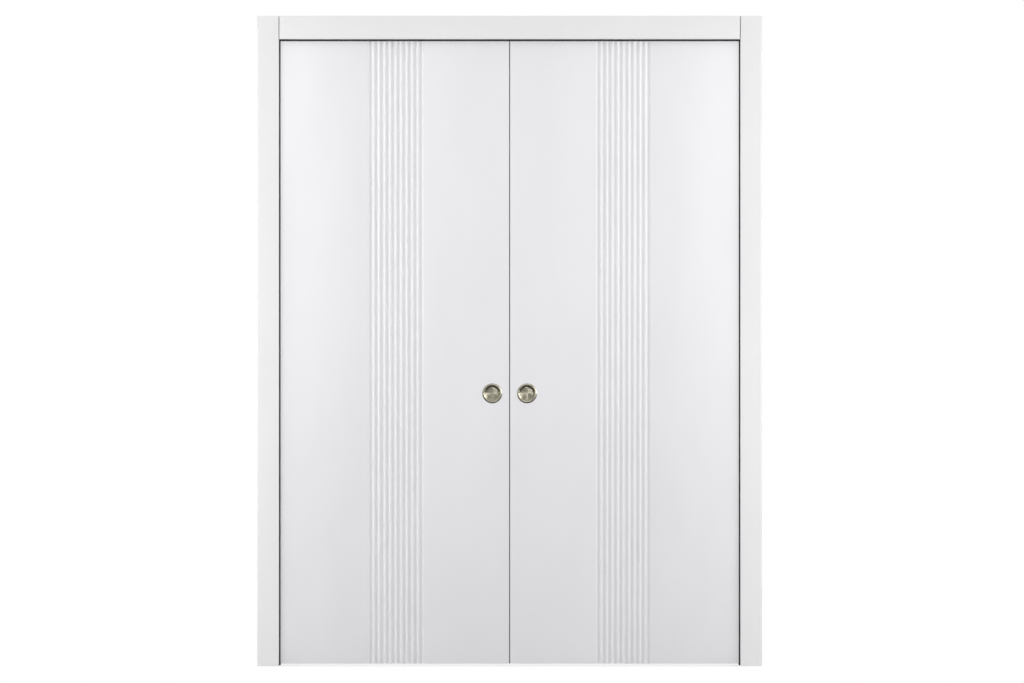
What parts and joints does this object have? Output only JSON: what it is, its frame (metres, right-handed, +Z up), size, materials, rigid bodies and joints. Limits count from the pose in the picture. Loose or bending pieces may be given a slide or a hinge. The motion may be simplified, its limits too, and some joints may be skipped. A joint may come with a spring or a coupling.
{
  "type": "double pocket door",
  "caption": "Double pocket door set: white fluted leaves with round flush pulls, hung on trolleys in a rail, sliding apart between split jambs and casings.",
  "frame": {"origin": "on the floor, on the line where the leaves meet, in the middle of their thickness", "axes": "+X to the right seen from the front, +Y from front to back through the wall, +Z up"},
  "size_m": [2.818, 0.1466, 2.112],
  "materials": {
    "white_lacquer": "white satin lacquer on MDF",
    "pine": "planed softwood",
    "satin_nickel": "turned satin nickel",
    "mill_aluminium": "extruded, mill finish",
    "zinc_steel": "zinc plated",
    "nylon": "moulded, off-white",
    "dark_seal": "matt, near black"
  },
  "bodies": {
    "frame": {"rail": "mill_aluminium", "header_board": "pine", "centre_stop": "zinc_steel", "left_end_stop": "zinc_steel", "left_floor_guide": "nylon", "right_end_stop": "zinc_steel", "right_floor_guide": "nylon", "front_head_jamb": "white_lacquer", "front_head_casing": "white_lacquer", "front_seal": "dark_seal", "front_left_jamb": "white_lacquer", "front_left_casing": "white_lacquer", "front_right_jamb": "white_lacquer", "front_right_casing": "white_lacquer", "back_head_jamb": "white_lacquer", "back_head_casing": "white_lacquer", "back_seal": "dark_seal", "back_left_jamb": "white_lacquer", "back_left_casing": "white_lacquer", "back_right_jamb": "white_lacquer", "back_right_casing": "white_lacquer"},
    "left_leaf": {"left_core": "pine", "meeting_buffer": "dark_seal", "left_front_skin": "white_lacquer", "left_front_pull": "satin_nickel", "left_back_skin": "white_lacquer", "left_back_pull": "satin_nickel", "left_inner_hanger_plate": "zinc_steel", "left_inner_hanger_bolt": "zinc_steel", "left_inner_lock_nut": "zinc_steel", "left_inner_trolley": "zinc_steel", "left_inner_axle": "zinc_steel", "left_outer_hanger_plate": "zinc_steel", "left_outer_hanger_bolt": "zinc_steel", "left_outer_lock_nut": "zinc_steel", "left_outer_trolley": "zinc_steel", "left_outer_axle": "zinc_steel"},
    "left_inner_front_roller": {"left_inner_front_wheel": "nylon"},
    "left_inner_back_roller": {"left_inner_back_wheel": "nylon"},
    "left_outer_front_roller": {"left_outer_front_wheel": "nylon"},
    "left_outer_back_roller": {"left_outer_back_wheel": "nylon"},
    "right_leaf": {"right_core": "pine", "right_front_skin": "white_lacquer", "right_front_pull": "satin_nickel", "right_back_skin": "white_lacquer", "right_back_pull": "satin_nickel", "right_inner_hanger_plate": "zinc_steel", "right_inner_hanger_bolt": "zinc_steel", "right_inner_lock_nut": "zinc_steel", "right_inner_trolley": "zinc_steel", "right_inner_axle": "zinc_steel", "right_outer_hanger_plate": "zinc_steel", "right_outer_hanger_bolt": "zinc_steel", "right_outer_lock_nut": "zinc_steel", "right_outer_trolley": "zinc_steel", "right_outer_axle": "zinc_steel"},
    "right_inner_front_roller": {"right_inner_front_wheel": "nylon"},
    "right_inner_back_roller": {"right_inner_back_wheel": "nylon"},
    "right_outer_front_roller": {"right_outer_front_wheel": "nylon"},
    "right_outer_back_roller": {"right_outer_back_wheel": "nylon"}
  },
  "joints": [
    {"name": "left_leaf_slide", "type": "slide", "parent": "frame", "child": "left_leaf", "axis": [-1, 0, 0], "range_m": [0, 0.65]},
    {"name": "left_inner_front_wheel_turn", "type": "hinge", "parent": "left_leaf", "child": "left_inner_front_roller", "pos_m": [-0.0615, -0.0098, 2.0748], "axis": [0, 1, 0], "range_deg": [-3725, 0]},
    {"name": "left_inner_back_wheel_turn", "type": "hinge", "parent": "left_leaf", "child": "left_inner_back_roller", "pos_m": [-0.0615, 0.0098, 2.0748], "axis": [0, 1, 0], "range_deg": [-3725, 0]},
    {"name": "left_outer_front_wheel_turn", "type": "hinge", "parent": "left_leaf", "child": "left_outer_front_roller", "pos_m": [-0.7035, -0.0098, 2.0748], "axis": [0, 1, 0], "range_deg": [-3725, 0]},
    {"name": "left_outer_back_wheel_turn", "type": "hinge", "parent": "left_leaf", "child": "left_outer_back_roller", "pos_m": [-0.7035, 0.0098, 2.0748], "axis": [0, 1, 0], "range_deg": [-3725, 0]},
    {"name": "right_leaf_slide", "type": "slide", "parent": "frame", "child": "right_leaf", "axis": [1, 0, 0], "range_m": [0, 0.65]},
    {"name": "right_inner_front_wheel_turn", "type": "hinge", "parent": "right_leaf", "child": "right_inner_front_roller", "pos_m": [0.0615, -0.0098, 2.0748], "axis": [0, 1, 0], "range_deg": [0, 3725]},
    {"name": "right_inner_back_wheel_turn", "type": "hinge", "parent": "right_leaf", "child": "right_inner_back_roller", "pos_m": [0.0615, 0.0098, 2.0748], "axis": [0, 1, 0], "range_deg": [0, 3725]},
    {"name": "right_outer_front_wheel_turn", "type": "hinge", "parent": "right_leaf", "child": "right_outer_front_roller", "pos_m": [0.7035, -0.0098, 2.0748], "axis": [0, 1, 0], "range_deg": [0, 3725]},
    {"name": "right_outer_back_wheel_turn", "type": "hinge", "parent": "right_leaf", "child": "right_outer_back_roller", "pos_m": [0.7035, 0.0098, 2.0748], "axis": [0, 1, 0], "range_deg": [0, 3725]}
  ],
  "couplings": [
    {"joint": "left_inner_front_wheel_turn", "follows": "left_leaf_slide", "rad_per_m": -100},
    {"joint": "left_inner_back_wheel_turn", "follows": "left_leaf_slide", "rad_per_m": -100},
    {"joint": "left_outer_front_wheel_turn", "follows": "left_leaf_slide", "rad_per_m": -100},
    {"joint": "left_outer_back_wheel_turn", "follows": "left_leaf_slide", "rad_per_m": -100},
    {"joint": "right_inner_front_wheel_turn", "follows": "right_leaf_slide", "rad_per_m": 100},
    {"joint": "right_inner_back_wheel_turn", "follows": "right_leaf_slide", "rad_per_m": 100},
    {"joint": "right_outer_front_wheel_turn", "follows": "right_leaf_slide", "rad_per_m": 100},
    {"joint": "right_outer_back_wheel_turn", "follows": "right_leaf_slide", "rad_per_m": 100}
  ]
}
